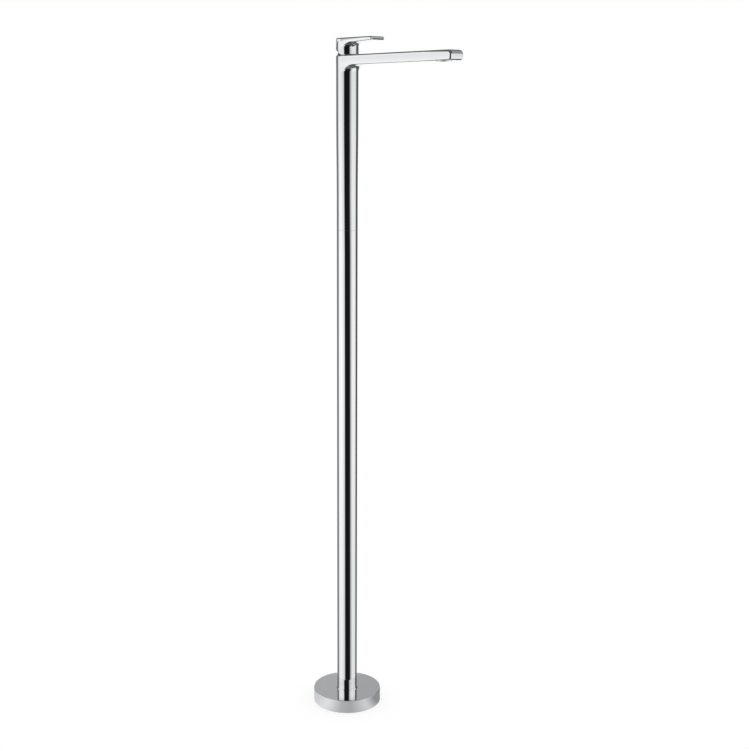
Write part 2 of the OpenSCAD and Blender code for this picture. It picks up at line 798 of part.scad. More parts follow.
module lever_handle() color("silver") {
    fillet_rise = tan(spout_rise) * (head_r + blade_root_r / 2);
    difference() {
        union() {
            at_top() cylinder(r = head_r, h = lever_h + 3);
            flat_blade() {
                blade_profile();
                translate([0, 0, lever_h - blade_root_t + fillet_rise]) root_fillet(blade_root_r);
            }
        }
        above_slope(lever_h);
        below_slope(lever_gap);
        at_spout() translate([-bevel_start, -far / 2, lever_gap])
            rotate([0, 180 + bevel_angle, 0]) cube(far);
        at_top() cylinder(r = skirt_r, h = lever_hollow_h);
        at_top() translate([-spindle_w / 2 - fit, -spindle_t / 2 - fit, lever_hollow_h - 1])
            cube([spindle_w + 2 * fit, spindle_t + 2 * fit, socket_depth + 1]);
        at_top() translate([0, 0, screw_z]) rotate([0, -90, 0])
            cylinder(d = lever_screw_d, h = column_d);
    }
}

module lever_screw() color("dimgray") {
    at_top() translate([-spindle_w / 2, 0, screw_z]) rotate([0, -90, 0])
        grub_screw(lever_screw_d, lever_screw_length);
}

module screw_plug() color("gray") {
    at_top() translate([plug_length + screw_inset - head_r, 0, screw_z]) rotate([0, -90, 0])
        cylinder(d = lever_screw_d - 2 * fit, h = plug_length);
}

// The ceramic disc that slides under the carrier, with the hollow that mixes the water
module moving_disc() color("ivory") {
    at_top() translate([disc_shift, 0, moving_disc_bottom]) difference() {
        cylinder(r = moving_disc_r, h = disc_t);
        translate([0, 0, -1]) cylinder(r = moving_disc_r - 2.5, h = 1 + disc_t / 3);
    }
}

module disc_carrier() color("royalblue") {
    socket_w = ball_d + 2 * free;
    at_top() difference() {
        translate([disc_shift, 0, carrier_bottom]) cylinder(r = moving_disc_r, h = carrier_h);
        translate([-socket_w / 2, -socket_w / 2, ball_z - ball_r - free]) cube([socket_w, socket_w, 10]);
    }
}

floor_flange();
floor_seal();
base_cover();
cover_bead();
foot_socket();
foot_screws();
column_tube();
joint_sleeve();
joint_seals();
grub_screws();
hot_hose();
cold_hose();
hose_ferrules();
hose_tails();
inlet_filters();
mixer_body();
water_tube();
tube_seals();
outlet_block();
aerator_housing();
aerator_insert();
aerator_washer();
cartridge_housing();
cartridge_base();
port_seals();
cartridge_seal();
fixed_disc();
cartridge_nut();
dome_ring();
cartridge_rotor();
spindle_pin();
lever_spindle();
lever_handle();
lever_screw();
screw_plug();
moving_disc();
disc_carrier();
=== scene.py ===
"""The looks of a floor-standing basin mixer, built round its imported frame."""

import json
import math

import bmesh
import bpy
from mathutils import Matrix, Vector


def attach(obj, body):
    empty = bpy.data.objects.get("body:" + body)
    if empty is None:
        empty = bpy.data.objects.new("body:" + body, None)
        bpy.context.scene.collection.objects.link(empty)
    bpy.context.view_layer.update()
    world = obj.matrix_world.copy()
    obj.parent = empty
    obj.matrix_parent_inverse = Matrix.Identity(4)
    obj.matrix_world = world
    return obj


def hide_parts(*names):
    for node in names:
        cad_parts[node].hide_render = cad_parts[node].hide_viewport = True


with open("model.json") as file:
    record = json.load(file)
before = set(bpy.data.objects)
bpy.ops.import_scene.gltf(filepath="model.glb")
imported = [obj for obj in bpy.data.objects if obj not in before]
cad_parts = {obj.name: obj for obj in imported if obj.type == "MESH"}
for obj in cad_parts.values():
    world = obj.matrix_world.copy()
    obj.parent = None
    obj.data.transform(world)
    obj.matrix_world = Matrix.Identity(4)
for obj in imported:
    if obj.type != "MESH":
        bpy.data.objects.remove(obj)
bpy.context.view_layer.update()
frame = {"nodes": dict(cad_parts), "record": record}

# Sizes are in millimetres, as in the frame's source, and the studio's further down in metres
MM = 0.001

# Room between pieces that stay together, room round pieces that move, and how far a
# cutter reaches past the surface that it opens
FIT = 0.1
FREE = 0.3
PAST = 1.0

# Base cover, bead and foot socket
COLUMN_R = 17.5
COVER_R = 58.5
COVER_H = 23.0
COVER_WALL = 2.0
COVER_EDGE_R = 0.6
HOLE_R = COLUMN_R + FIT
BEAD_W = 1.2
BEAD_H = 1.6
BEAD_EDGE_R = 0.1
FLANGE_T = 14.0
SOCKET_FOOT_R = 31.0
SOCKET_FOOT_T = 3.0
SOCKET_WALL = 3.4
SOCKET_BORE_R = COLUMN_R - SOCKET_WALL
SOCKET_SPIGOT = 30.0
SOCKET_ABOVE = 19.7
SOCKET_TOP_Z = COVER_H + SOCKET_ABOVE

# Column, and the joint between it and the body
COLUMN_WALL = 1.5
COLUMN_BORE_R = COLUMN_R - COLUMN_WALL
SLEEVE_R = COLUMN_BORE_R - FIT
SLEEVE_LENGTH = 50.0
JOINT_Z = 833.0
JOINT_R = 0.15
JOINT_STEPS = 3
SEAM_R = 0.1
GRUB_R = 2.5
GRUB_ABOVE = 14.0
GRUB_BELOW = 13.0
GRUB_RING = 5.0

# Body, whose head is a little wider than the column
TOP_Z = 1111.9
HEAD_FLARE = 0.7
HEAD_R = COLUMN_R + HEAD_FLARE
FLARE_START = 60.0
FLARE_LENGTH = 120.0
FLARE_STEPS = 10
BODY_WALL = 2.5
BODY_BORE_R = COLUMN_R - BODY_WALL
SEAT_DEPTH = 34.0
WEB_T = 25.0
WEB_Z = TOP_Z - SEAT_DEPTH - WEB_T
HOSE_Y = 7.0
HOSE_THREAD_R = 4.8
HOSE_THREAD_L = 8.5
HOSE_DRILL_R = 2.6

# Lever's skirt, the dome in it and the body's neck in the dome
SKIRT_WALL = 2.1
SKIRT_R = HEAD_R - SKIRT_WALL
DOME_WALL = 1.8
DOME_FOOT_R = SKIRT_R - FREE
DOME_BORE_R = DOME_FOOT_R - DOME_WALL
DOME_SHOULDER_R = DOME_BORE_R + DOME_WALL / 2
DOME_HOLE_R = 9.2
DOME_H = 8.4
DOME_FOOT_Z = -1.0
DOME_SIDE_DROP = 3.0
DOME_SIDE_ROUND = 2.0
DOME_TOP_DROP = 0.8
DOME_TOP_W = 1.6
DOME_TOP_ROUND = 1.0
DOME_LIP_T = 1.6
DOME_INNER_TOP_DROP = 2.2
DOME_INNER_TOP_W = 2.4
DOME_INNER_SIDE_DROP = 2.8
DOME_LIFT = 0.02
NECK_R = DOME_BORE_R - FIT
NECK_H = 5.5
NECK_SUNK = 2.0
NECK_WALL = 1.5
CARTRIDGE_BORE_R = NECK_R - NECK_WALL
BORE_UNDERCUT = 1.0
UNDERCUT_LOW = -31.0
UNDERCUT_HIGH = -4.4
NUT_SEAT = -1.2

# Spout, with its hollow and its outlet
RISE = math.tan(math.radians(1.3))
RISE_LENGTH = 120.0
SPOUT_T = 15.9
SPOUT_REACH = 206.5
SPOUT_WALL = 2.5
SPOUT_END_R = 6.0
SPOUT_ROOT_R = 10.5
SPOUT_EDGE_R = 2.0
SPOUT_TIP_EDGE_R = 3.6
HOLLOW_SETBACK = 3.5
HOLLOW_START = HEAD_R + HOLLOW_SETBACK
SPOUT_END_WALL = 4.5
HOLLOW_END = SPOUT_REACH - SPOUT_END_WALL
BLEND = 0.05
HOLLOW_HALF_W = HEAD_R - BLEND - SPOUT_WALL
TUBE_R = 3.2
TUBE_FLOOR_GAP = 1.1
TUBE_AXIS_Z = SPOUT_WALL + TUBE_FLOOR_GAP + TUBE_R - SPOUT_T
OUTLET_X = 182.0
AERATOR_PROUD = 0.8
AERATOR_RIM_R = 12.3
AERATOR_RIM_EDGE_R = 0.5
AERATOR_THREAD_R = 10.9
AERATOR_WALL = 1.5
AERATOR_BORE_R = AERATOR_THREAD_R - AERATOR_WALL
AERATOR_LIP_W = 1.4
AERATOR_LIP_R = AERATOR_BORE_R - AERATOR_LIP_W
AERATOR_LIP_T = 1.5
AERATOR_TOP = -5.3

# Lever, whose back is cut away in a bevel
LEVER_H = 26.6
LEVER_REACH = 59.6
LEVER_EDGE_R = 1.8
LEVER_GAP = 0.8
BLADE_ROOT_T = 7.6
BLADE_ROOT_R = 7.0
BLADE_TIP_T = 5.6
BLADE_TIP_R = 2.0
BEVEL_ANGLE = math.radians(32)
BEVEL_X = -0.5
SKIRT_EDGE_R = 0.3
SKIRT_EDGE_ANGLE = 0.3
SKIRT_EDGE_TOP = 9.0
LEVER_HOLLOW_H = 14.0
SPINDLE_SOCKET = (3.6, 3.2, 10.0)
LEVER_SCREW_R = 2.5

# Where the uncut lever and the cutters of bores and screw holes end
LEVER_FOOT = -8.0
LEVER_HOLLOW_LOW = -5.0
LEVER_SCREW_END_X = -3.0
ABOVE_NECK = 8.0
GRUB_OUTER_X = -20.0
GRUB_INNER_X = -12.0

# The share of an arm's reach past which its edges may widen
SWELL_START = 0.75
SWELL_STEPS = 6

# Fineness of the meshes, and their smallest roundings
ROUND_STEPS = 96
DRUM_STEPS = 64
HOLE_STEPS = 32
QUARTER_STEPS = 20
ROOT_RINGS = 12
EDGE_STEPS = 5
EDGE_R = 0.3
FINE_EDGE_R = 0.2
SHARP_ANGLE = math.radians(32)
CLOSE = 1e-3
NEAR = 0.01


# Mesh helpers


def quarter(steps, start=0.0):
    """The angles of a quarter turn in equal steps."""
    return [start + math.pi / 2 * step / steps for step in range(steps + 1)]


def rounded(corners, closed=True, steps=4):
    """An outline whose corners, given as (across, up, radius), are rounded by arcs."""
    points = []
    for i, (across, up, radius) in enumerate(corners):
        here = Vector((across, up))
        end = not closed and i in (0, len(corners) - 1)
        if not radius or end:
            points.append(tuple(here))
            continue
        back = (Vector(corners[i - 1][:2]) - here).normalized()
        on = (Vector(corners[(i + 1) % len(corners)][:2]) - here).normalized()
        half = back.angle(on) / 2
        centre = here + (back + on).normalized() * radius / math.sin(half)
        first = here + back * radius / math.tan(half) - centre
        turn = math.pi - 2 * half
        if first.x * (here - centre).y - first.y * (here - centre).x < 0:
            turn = -turn
        for step in range(steps + 1):
            angle = turn * step / steps
            points.append((
                centre.x + first.x * math.cos(angle) - first.y * math.sin(angle),
                centre.y + first.x * math.sin(angle) + first.y * math.cos(angle),
            ))
    return points


def chain(shape, points, closed=False):
    """New vertices joined by edges, as one list for a bmesh operator."""
    verts = [shape.verts.new(point) for point in points]
    pairs = zip(verts, verts[1:] + verts[:1] if closed else verts[1:])
    return verts + [shape.edges.new(pair) for pair in pairs]


def add_face(shape, points):
    """A face with new vertices, which are merged with their neighbours later."""
    shape.faces.new([shape.verts.new(point) for point in points])


def everything(shape):
    return shape.verts[:] + shape.edges[:] + shape.faces[:]


def tidy(shape):
    """The shape with its doubles merged and its faces turned outwards."""
    bmesh.ops.remove_doubles(shape, verts=shape.verts, dist=CLOSE)
    bmesh.ops.recalc_face_normals(shape, faces=shape.faces)
    return shape


def turned(corners, levels=()):
    """A ring turned round the column's axis, with extra rings of vertices at the levels.

    Its closed outline is given as (radius, height, rounding).
    """
    shape = bmesh.new()
    outline = chain(shape, [(r, 0, z) for r, z in rounded(corners)], closed=True)
    bmesh.ops.spin(shape, geom=outline, axis=(0, 0, 1), cent=(0, 0, 0), angle=math.tau,
                   steps=ROUND_STEPS, use_merge=True)
    for z in levels:
        bmesh.ops.bisect_plane(shape, geom=everything(shape), plane_co=(0, 0, z),
                               plane_no=(0, 0, 1))
    return tidy(shape)


def drum(radius, low, high, axis="Z", place=(0, 0, 0), steps=DRUM_STEPS):
    """A plain cylinder, for cutting or joining, from low to high along its axis."""
    shape = bmesh.new()
    bmesh.ops.create_cone(shape, cap_ends=True, segments=steps, radius1=radius, radius2=radius,
                          depth=high - low)
    bmesh.ops.translate(shape, verts=shape.verts, vec=(0, 0, (high + low) / 2))
    if axis == "X":
        bmesh.ops.rotate(shape, verts=shape.verts, matrix=Matrix.Rotation(math.pi / 2, 3, "Y"))
    bmesh.ops.translate(shape, verts=shape.verts, vec=place)
    return shape


def grub_hole(z):
    """The cutter for a grub screw's hole in the back of the column or the body."""
    return drum(GRUB_R, GRUB_OUTER_X, GRUB_INNER_X, axis="X", place=(0, 0, z), steps=HOLE_STEPS)


def block(low, high):
    """A plain box, for cutting, between two corners."""
    shape = bmesh.new()
    bmesh.ops.create_cube(shape, size=1)
    bmesh.ops.scale(shape, verts=shape.verts, vec=Vector(high) - Vector(low))
    bmesh.ops.translate(shape, verts=shape.verts, vec=(Vector(high) + Vector(low)) / 2)
    return shape


def at_top(shape):
    """Lifts a shape, made with z = 0 at the body's top, to its place."""
    bmesh.ops.translate(shape, verts=shape.verts, vec=(0, 0, TOP_Z))
    return shape


def at_spout(shape):
    """Tilts a shape as the spout rises and lifts it to its place."""
    bmesh.ops.rotate(shape, verts=shape.verts, matrix=Matrix.Rotation(-math.atan(RISE), 3, "Y"))
    return at_top(shape)


def as_object(shape, name):
    mesh = bpy.data.meshes.new(name)
    shape.to_mesh(mesh)
    shape.free()
    made = bpy.data.objects.new(name, mesh)
    bpy.context.scene.collection.objects.link(made)
    return made


def applied(work):
    """The shape of a work object with its modifiers; the object itself goes."""
    graph = bpy.context.evaluated_depsgraph_get()
    out = bmesh.new()
    out.from_mesh(work.evaluated_get(graph).to_mesh())
    bpy.data.meshes.remove(work.data)
    return out


def carved(shape, cutters, joined=()):
    """The shape with each joined shape added to it and then each cutter taken out."""
    for operation, tools in (("UNION", joined), ("DIFFERENCE", cutters)):
        for tool in tools:
            work, other = as_object(shape, "work"), as_object(tool, "tool")
            step = work.modifiers.new("step", "BOOLEAN")
            step.operation = operation
            step.solver = "EXACT"
            step.object = other
            shape = applied(work)
            bpy.data.meshes.remove(other.data)
    return tidy(shape)


def finished(shape, name, node, body="stand", slot="chrome"):
    """Turns the shape into a piece in metres that rides its body in place of a CAD node."""
    bmesh.ops.scale(shape, verts=shape.verts, vec=(MM, MM, MM))
    for face in shape.faces:
        face.smooth = True
    for edge in shape.edges:
        if len(edge.link_faces) == 2:
            edge.smooth = edge.calc_face_angle() < SHARP_ANGLE
    piece = as_object(shape, name)
    piece.data.materials.append(FINISHES[slot])
    even = piece.modifiers.new("even_normals", "WEIGHTED_NORMAL")
    even.keep_sharp = True
    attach(piece, body)
    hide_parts(node)


# Finishes


def new_group(name, inputs, outputs):
    """An empty node group with its sockets, its input node and its output node."""
    group = bpy.data.node_groups.new(name, "ShaderNodeTree")
    for label, kind, value in inputs:
        made = group.interface.new_socket(label, in_out="INPUT", socket_type=kind)
        made.default_value = value
    for label, kind in outputs:
        group.interface.new_socket(label, in_out="OUTPUT", socket_type=kind)
    return group, group.nodes.new("NodeGroupInput"), group.nodes.new("NodeGroupOutput")


def add(tree, kind, **values):
    """A node with its options set, and its sockets set or linked by name or by _number."""
    node = tree.nodes.new("ShaderNode" + kind)
    for key, value in values.items():
        if hasattr(node, key) and key[0].islower():
            setattr(node, key, value)
            continue
        spot = node.inputs[int(key[1:]) if key[1:].isdigit() else key.replace("_", " ")]
        if isinstance(value, bpy.types.NodeSocket):
            tree.links.new(value, spot)
        else:
            spot.default_value = value
    return node


def maths(tree, operation, *values):
    """The result of a Math node."""
    sockets = {f"_{i}": value for i, value in enumerate(values)}
    return add(tree, "Math", operation=operation, **sockets).outputs[0]


def mixed(tree, share, one, two, blend_type="MIX"):
    """A colour between two others."""
    node = add(tree, "Mix", data_type="RGBA", blend_type=blend_type, _0=share, _6=one, _7=two)
    return node.outputs[2]


def surface_group():
    """Slight unevenness of a finish: its colour, its roughness and its relief."""
    floats, colours = "NodeSocketFloat", "NodeSocketColor"
    group, given, out = new_group(
        "surface_variation",
        [("Stretch", "NodeSocketVector", (1, 1, 1)), ("Scale", floats, 60),
         ("Colour One", colours, (1, 1, 1, 1)), ("Colour Two", colours, (1, 1, 1, 1)),
         ("Smoothest", floats, 0.05), ("Roughest", floats, 0.1), ("Relief", floats, 0.02)],
        [("Colour", colours), ("Roughness", floats), ("Normal", "NodeSocketVector")])
    values = given.outputs
    place = add(group, "TexCoord")
    stretched = add(group, "VectorMath", operation="MULTIPLY", _0=place.outputs["Object"],
                    _1=values["Stretch"])
    noise = add(group, "TexNoise", Vector=stretched.outputs[0], Scale=values["Scale"], Detail=3)
    spread = add(group, "MapRange", Value=noise.outputs["Fac"], From_Min=0.3, From_Max=0.7)
    colour = mixed(group, spread.outputs[0], values["Colour One"], values["Colour Two"])
    rough = add(group, "MapRange", Value=spread.outputs[0], To_Min=values["Smoothest"],
                To_Max=values["Roughest"])
    bump = add(group, "Bump", Strength=values["Relief"], Distance=0.0005,
               Height=noise.outputs["Fac"])
    group.links.new(colour, out.inputs["Colour"])
    group.links.new(rough.outputs[0], out.inputs["Roughness"])
    group.links.new(bump.outputs[0], out.inputs["Normal"])
    return group


SURFACE = surface_group()


def finish(name, one, two, roughness, relief, scale, metal=0.0, stretch=(1, 1, 1), ior=1.5):
    """A material whose colour and roughness vary between two values each."""
    made = bpy.data.materials.new(name)
    made.use_nodes = True
    tree = made.node_tree
    shader = tree.nodes["Principled BSDF"]
    vary = tree.nodes.new("ShaderNodeGroup")
    vary.node_tree = SURFACE
    for label, value in (("Stretch", stretch), ("Scale", scale), ("Colour One", (*one, 1)),
                         ("Colour Two", (*two, 1)), ("Smoothest", roughness[0]),
                         ("Roughest", roughness[1]), ("Relief", relief)):
        vary.inputs[label].default_value = value
    tree.links.new(vary.outputs["Colour"], shader.inputs["Base Color"])
    tree.links.new(vary.outputs["Roughness"], shader.inputs["Roughness"])
    tree.links.new(vary.outputs["Normal"], shader.inputs["Normal"])
    shader.inputs["Metallic"].default_value = metal
    shader.inputs["IOR"].default_value = ior
    return made


FINISHES = {
    "chrome": finish("polished_chrome", (0.855, 0.865, 0.878), (0.867, 0.877, 0.890),
                     roughness=(0.015, 0.04), relief=0.004, scale=45, metal=1.0),
    "zinc_steel": finish("zinc_plate", (0.50, 0.51, 0.53), (0.40, 0.41, 0.42),
                         roughness=(0.3, 0.5), relief=0.2, scale=350, metal=1.0),
    "raw_brass": finish("turned_brass", (0.76, 0.58, 0.28), (0.64, 0.47, 0.21),
                        roughness=(0.22, 0.36), relief=0.15, scale=60, metal=1.0,
                        stretch=(1, 1, 60)),
    "screw_steel": finish("bright_screw", (0.60, 0.60, 0.61), (0.48, 0.48, 0.49),
                          roughness=(0.2, 0.34), relief=0.1, scale=500, metal=1.0),
    "crimp_steel": finish("crimped_steel", (0.66, 0.66, 0.67), (0.55, 0.55, 0.56),
                          roughness=(0.25, 0.4), relief=0.2, scale=80, metal=1.0,
                          stretch=(1, 1, 30)),
    "braided_hose": finish("steel_braid", (0.60, 0.61, 0.62), (0.30, 0.30, 0.31),
                           roughness=(0.3, 0.5), relief=0.5, scale=900, metal=0.8),
    "black_rubber": finish("black_rubber", (0.020, 0.020, 0.021), (0.032, 0.032, 0.033),
                           roughness=(0.5, 0.75), relief=0.3, scale=700),
    "white_plastic": finish("white_acetal", (0.82, 0.82, 0.80), (0.76, 0.76, 0.74),
                            roughness=(0.35, 0.5), relief=0.08, scale=300),
    "dark_plastic": finish("dark_acetal", (0.030, 0.030, 0.033), (0.045, 0.045, 0.048),
                           roughness=(0.35, 0.5), relief=0.08, scale=300),
    "grey_plastic": finish("grey_plastic", (0.42, 0.43, 0.44), (0.36, 0.37, 0.38),
                           roughness=(0.3, 0.42), relief=0.06, scale=300),
    "red_plastic": finish("red_acetal", (0.50, 0.03, 0.025), (0.42, 0.022, 0.018),
                          roughness=(0.35, 0.5), relief=0.08, scale=300),
    "blue_plastic": finish("blue_acetal", (0.03, 0.08, 0.36), (0.022, 0.06, 0.28),
                           roughness=(0.35, 0.5), relief=0.08, scale=300),
    "ceramic": finish("ground_ceramic", (0.84, 0.82, 0.76), (0.80, 0.78, 0.72),
                      roughness=(0.08, 0.16), relief=0.03, scale=500, ior=1.76),
}


# Body and lever


def skin(shape, lines):
    """Faces from each line of points to the next."""
    for one, two in zip(lines, lines[1:]):
        for step in range(len(one) - 1):
            add_face(shape, [one[step], one[step + 1], two[step + 1], two[step]])


def column_walls(shape, foot, root_z, top, edge_r):
    """One half of the column: its front up to the arm's root, its back up to its rounded top."""
    inner = HEAD_R - edge_r
    brow = [(inner + edge_r * math.cos(angle), top - edge_r + edge_r * math.sin(angle))
            for angle in quarter(EDGE_STEPS)]
    for start, upper in ((0, []), (math.pi / 2, brow)):
        side = Vector((math.cos(start), math.sin(start), 0))
        line = [side * r + Vector((0, 0, z)) for r, z in foot + [(HEAD_R, root_z)] + upper]
        bmesh.ops.spin(shape, geom=chain(shape, line), axis=(0, 0, 1), cent=(0, 0, 0),
                       angle=math.pi / 2, steps=QUARTER_STEPS)


def fillet_point(root_z, root_r, edge_r, turn, up):
    """A point of the root's fillet, turned from the arm's middle line to its rounded edge."""
    out = HEAD_R + root_r * (1 - math.cos(up))
    angle = turn * math.asin(min(1, (HEAD_R - edge_r) / (out - edge_r * math.cos(up))))
    return Vector((out * math.cos(angle), out * math.sin(angle), root_z + root_r * math.sin(up)))


def fillet_edge(root_z, root_r, edge_r, up):
    """The rounding across the fillet's edge, from the fillet to the arm's flat side."""
    inner = HEAD_R - edge_r
    out = HEAD_R + root_r - (root_r + edge_r) * math.cos(up)
    centre = Vector((math.sqrt(max(0, out ** 2 - inner ** 2)), inner,
                     root_z + (root_r + edge_r) * math.sin(up)))
    first = (fillet_point(root_z, root_r, edge_r, 1, up) - centre) / edge_r
    return [centre + edge_r * first.lerp(Vector((0, 1, 0)), step / EDGE_STEPS).normalized()
            for step in range(EDGE_STEPS + 1)]


def arm_edges(side, edge_r, end_r):
    """The rounding at each point of the arm's outline, from its top or underside to its side."""
    edges = []
    reach = max(x for x, _ in side)
    for i, (x, z) in enumerate(side):
        if i in (0, len(side) - 1):
            out = Vector((0, 0, -1 if i == 0 else 1))
        else:
            (x0, z0), (x1, z1) = side[i - 1], side[i + 1]
            out = Vector((z1 - z0, 0, x0 - x1)).normalized()
        swell = (x / reach - SWELL_START) / (1 - SWELL_START)
        ball = edge_r + (end_r - edge_r) * min(1, max(0, swell))
        centre = Vector((x, HEAD_R - ball, z)) - ball * out
        edges.append([centre + ball * (out * math.cos(angle) + Vector((0, math.sin(angle), 0)))
                      for angle in quarter(EDGE_STEPS)])
    return edges


def arm_on_column(foot, underside, root_r, top, outline, edge_r, end_r):
    """A round column with a flat-sided arm along +X, level, with z = 0 at the body's top.

    The foot is the column's outline below the arm, from its bottom up, as (radius, z), and
    the outline is the arm's side from its underside round its end to its top, as (x, z).
    The arm's root has a fillet of root_r that wraps round the column. A ball of edge_r
    rolled along the inside rounds the edges; it grows to end_r towards the arm's end.
    One half is made and then mirrored.
    """
    shape = bmesh.new()
    inner = HEAD_R - edge_r
    root_z = underside - root_r
    column_walls(shape, foot, root_z, top, edge_r)
    turns = [step / QUARTER_STEPS for step in range(QUARTER_STEPS + 1)]
    fillet = [[fillet_point(root_z, root_r, edge_r, turn, up) for turn in turns]
              for up in quarter(ROOT_RINGS)]
    side = [(HEAD_R + root_r, underside)] + outline + [(0, top)]
    edges = arm_edges(side, edge_r, end_r)
    add_face(shape, fillet[-1] + [Vector((HEAD_R + root_r, inner, underside))])
    for (x0, z0), (x1, z1), one, two in zip(side, side[1:], edges, edges[1:]):
        add_face(shape, [(x0, 0, z0), one[0], two[0], (x1, 0, z1)])
    edges = [fillet_edge(root_z, root_r, edge_r, up) for up in quarter(ROOT_RINGS)] + edges
    skin(shape, fillet)
    skin(shape, edges)
    add_face(shape, [edge[-1] for edge in edges])
    back = quarter(QUARTER_STEPS, math.pi / 2)
    add_face(shape, [(inner * math.cos(angle), inner * math.sin(angle), top) for angle in back]
             + [(0, 0, top)])
    low, bottom = foot[0]
    add_face(shape, [(low * math.cos(angle), low * math.sin(angle), bottom)
                     for angle in quarter(QUARTER_STEPS) + back[1:]])
    bmesh.ops.remove_doubles(shape, verts=shape.verts, dist=CLOSE)
    bmesh.ops.mirror(shape, geom=everything(shape), axis="Y", merge_dist=CLOSE)
    return tidy(shape)


def risen(shape, above):
    """Gives everything above a height the spout's rise and lifts it all to its place.

    The lean that goes with the rise grows along the arm, so that the column stays upright.
    """
    for vert in shape.verts:
        if vert.co.z > above - CLOSE:
            lean = -vert.co.z * RISE * min(1, max(0, vert.co.x / RISE_LENGTH))
            vert.co.z += vert.co.x * RISE
            vert.co.x += lean
    at_top(shape)


def body_foot():
    """The body's outline from its joint up over its flare, as (radius, height)."""
    foot = [(COLUMN_R - JOINT_R + JOINT_R * math.sin(angle), JOINT_R - JOINT_R * math.cos(angle))
            for angle in quarter(JOINT_STEPS)]
    for share in (step / FLARE_STEPS for step in range(FLARE_STEPS + 1)):
        foot.append((COLUMN_R + (HEAD_R - COLUMN_R) * share ** 2 * (3 - 2 * share),
                     FLARE_START + FLARE_LENGTH * share))
    return foot


def spout_end():
    """The spout's side from where its edges start to widen, round its end and back."""
    start = SPOUT_REACH * SWELL_START
    end = rounded([(start, -SPOUT_T, 0), (SPOUT_REACH, -SPOUT_T, SPOUT_END_R),
                   (SPOUT_REACH, 0, SPOUT_END_R), (start, 0, 0)],
                  closed=False, steps=8)[1:-1]
    swell = [start + (SPOUT_REACH - start) * step / SWELL_STEPS for step in range(SWELL_STEPS)]
    return [(x, -SPOUT_T) for x in swell] + end + [(x, 0) for x in reversed(swell)]


def mixer_body():
    foot = [(r, z + JOINT_Z - TOP_Z) for r, z in body_foot()]
    shape = arm_on_column(foot, -SPOUT_T, SPOUT_ROOT_R, 0, spout_end(), SPOUT_EDGE_R,
                          SPOUT_TIP_EDGE_R)
    risen(shape, -SPOUT_T - SPOUT_ROOT_R)
    sleeve_seat = drum(COLUMN_BORE_R, JOINT_Z - PAST, JOINT_Z + SLEEVE_LENGTH / 2 + PAST,
                       steps=ROUND_STEPS)
    hose_room = drum(BODY_BORE_R, JOINT_Z, WEB_Z, steps=ROUND_STEPS)
    cartridge_seat = at_top(drum(CARTRIDGE_BORE_R, -SEAT_DEPTH, ABOVE_NECK))
    undercut = at_top(drum(CARTRIDGE_BORE_R + BORE_UNDERCUT, UNDERCUT_LOW, UNDERCUT_HIGH))
    nut_seat = at_top(drum(CARTRIDGE_BORE_R + FIT, NUT_SEAT, ABOVE_NECK))
    spout_hollow = at_spout(block((HOLLOW_START, -HOLLOW_HALF_W, SPOUT_WALL - SPOUT_T),
                                  (HOLLOW_END, HOLLOW_HALF_W, -SPOUT_WALL)))
    aerator_hole = at_spout(drum(AERATOR_RIM_R + 2 * FIT, -SPOUT_T - PAST,
                                 SPOUT_WALL + PAST - SPOUT_T, place=(OUTLET_X, 0, 0)))
    tube_hole = at_spout(drum(TUBE_R + FIT, 0, HOLLOW_START + PAST, axis="X",
                              place=(0, 0, TUBE_AXIS_Z), steps=HOLE_STEPS))
    cutters = [sleeve_seat, hose_room, cartridge_seat, undercut, nut_seat, spout_hollow,
               aerator_hole, tube_hole, grub_hole(JOINT_Z + GRUB_ABOVE)]
    for y in (-HOSE_Y, HOSE_Y):
        for radius, length in ((HOSE_THREAD_R, HOSE_THREAD_L), (HOSE_DRILL_R, WEB_T + PAST)):
            cutters.append(drum(radius, WEB_Z - PAST, WEB_Z + length, place=(0, y, 0),
                                steps=HOLE_STEPS))
    neck = at_top(drum(NECK_R, -NECK_SUNK, NECK_H))
    finished(carved(shape, cutters, [neck]), "spout_and_body", "mixer_body")


def close_skirt(shape):
    """Closes the lever's skirt below, with a fold where its level rim meets the bevel."""
    rim = [edge for edge in shape.edges if edge.is_boundary]
    level = [edge for edge in rim if max(v.co.z for v in edge.verts) < LEVER_GAP + CLOSE]
    ends = [v for v in shape.verts if v.is_boundary and abs(v.co.x - BEVEL_X) < NEAR
            and v.co.z < LEVER_GAP + CLOSE]
    fold = shape.edges.new(ends[:2])
    for edges in (level + [fold], [edge for edge in rim if edge not in level] + [fold]):
        bmesh.ops.edgeloop_fill(shape, edges=edges)
    tidy(shape)


